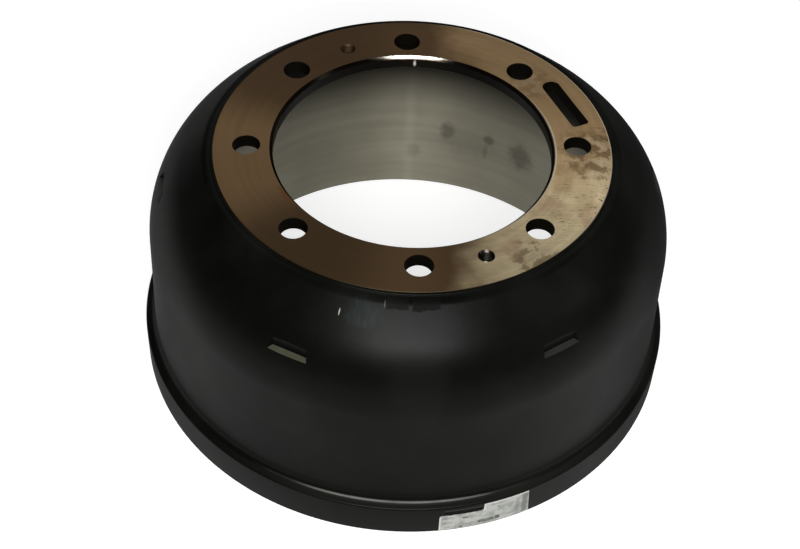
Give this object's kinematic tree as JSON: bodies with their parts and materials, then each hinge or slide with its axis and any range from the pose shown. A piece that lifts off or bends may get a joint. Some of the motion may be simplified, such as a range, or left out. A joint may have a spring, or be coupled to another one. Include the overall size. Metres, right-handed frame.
{
  "type": "brake drum",
  "caption": "Cast iron brake drum with a domed shoulder, a rim band at the open end, and a turned hub face with a pilot bore, bolt holes and an inspection slot.",
  "frame": {"origin": "on the drum's axis, in the plane of the open edge that it stands on", "axes": "+Z along the axis from the open edge to the hub face; +X through the middle of the inspection slot"},
  "size_m": [0.4689, 0.4692, 0.2185],
  "materials": {
    "painted_iron": "thin satin black paint on the cast outside; the hub face, pilot bore and braking surface are bare turned iron under a brown film of oil",
    "paper": "matt white label paper, a little soiled"
  },
  "bodies": {
    "root": {"drum": "painted_iron", "paper_label": "paper"}
  },
  "joints": []
}
